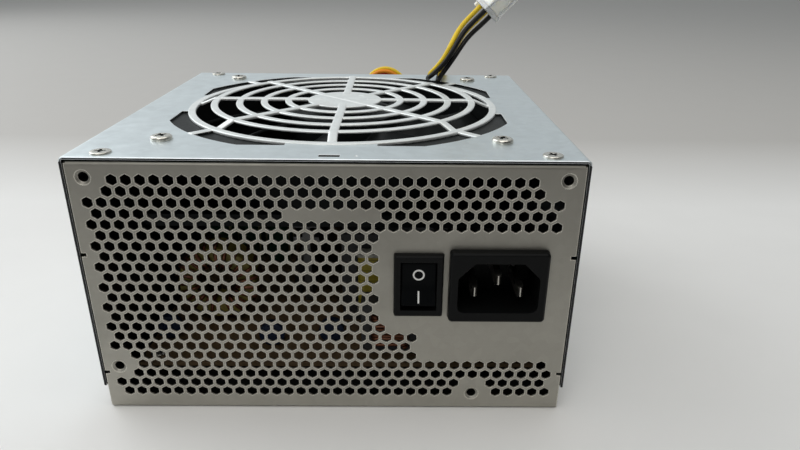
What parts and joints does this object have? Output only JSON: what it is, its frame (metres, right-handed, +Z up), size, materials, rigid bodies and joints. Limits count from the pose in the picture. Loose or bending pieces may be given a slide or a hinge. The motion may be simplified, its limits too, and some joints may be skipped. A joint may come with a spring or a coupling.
{
  "type": "computer power supply unit",
  "caption": "Steel-cased computer power supply with a top fan grille, perforated rear panel, mains inlet, rocker switch and output leads.",
  "frame": {"origin": "on the floor under the middle of the case", "axes": "+X right as seen from the perforated rear panel, +Y from that panel to the cable wall, +Z up"},
  "size_m": [0.1509, 0.2238, 0.1351],
  "materials": {
    "galvanised_steel": "satin zinc-coated sheet",
    "cover_steel": "satin zinc-coated sheet",
    "screw_steel": "bright plated",
    "black_plastic": "fine matt",
    "rocker_plastic": "smooth",
    "mark_paint": "white marks",
    "contact_metal": "plated brass",
    "mains_wire": "brown wire",
    "earth_wire": "green and yellow wire",
    "fan_plastic": "black moulded",
    "shaft_steel": "ground",
    "magnet": "ferrite",
    "nylon": "natural",
    "bronze": "sintered bush",
    "stator_steel": "stacked sheets",
    "copper": "varnished wire",
    "fan_wire": "black wire",
    "film": "thin sheet",
    "board": "tan laminate",
    "aluminium": "extruded",
    "package": "moulded",
    "ferrite": "dark core",
    "tape": "yellow tape",
    "iron_powder": "coated ring",
    "sleeve_black": "shrunk sleeve",
    "sleeve_green": "shrunk sleeve",
    "can_top": "bare can end",
    "film_capacitor": "moulded box",
    "disc_blue": "dipped",
    "fuse_tube": "clear tube",
    "disc_green": "dipped",
    "wire_yellow": "insulated wires",
    "wire_orange": "insulated wires",
    "plug_natural": "natural nylon",
    "plug_black": "moulded"
  },
  "bodies": {
    "case": {"base_chassis": "galvanised_steel", "top_cover": "cover_steel", "cover_screws": "screw_steel", "fan_screws": "screw_steel", "board_screws": "screw_steel", "inlet_housing": "black_plastic", "switch_bezel": "black_plastic", "cable_grommet": "black_plastic", "lead_ties": "black_plastic", "inlet_pins": "contact_metal", "switch_terminals": "contact_metal", "fuse_caps": "contact_metal", "mains_leads": "mains_wire", "earth_lead": "earth_wire", "fan_frame": "fan_plastic", "fan_header": "nylon", "fan_bearing": "bronze", "fan_stator": "stator_steel", "fan_coils": "copper", "ring_choke_winding": "copper", "fan_lead": "fan_wire", "insulating_film": "film", "circuit_board": "board", "primary_heatsink": "aluminium", "secondary_heatsink": "aluminium", "transistors": "package", "rectifiers": "package", "bridge_rectifier": "package", "control_chips": "package", "transformer_core": "ferrite", "standby_core": "ferrite", "line_choke_core": "ferrite", "transformer_winding": "tape", "standby_winding": "tape", "line_choke_winding": "tape", "ring_choke_core": "iron_powder", "bulk_capacitors": "sleeve_black", "output_capacitors": "sleeve_green", "bulk_tops": "can_top", "output_tops": "can_top", "line_capacitor": "film_capacitor", "disc_capacitors": "disc_blue", "fuse_glass": "fuse_tube", "thermistor": "disc_green", "inner_wires": "wire_yellow", "cpu_lead": "wire_yellow", "drive_lead": "wire_orange", "cpu_plug": "plug_natural", "drive_plug": "plug_black"},
    "rotor": {"fan_rotor": "fan_plastic", "fan_shaft": "shaft_steel", "fan_magnet": "magnet", "fan_retainer": "nylon"},
    "rocker": {"switch_rocker": "rocker_plastic", "rocker_marks": "mark_paint"}
  },
  "joints": [
    {"name": "fan_spin", "type": "hinge", "parent": "case", "child": "rotor", "pos_m": [0, 0.002, 0.07], "axis": [0, 0, 1], "continuous": true},
    {"name": "rocker_tip", "type": "hinge", "parent": "case", "child": "rocker", "pos_m": [0.0267, -0.0675, 0.0466], "axis": [1, 0, 0], "range_deg": [0, 20]}
  ]
}
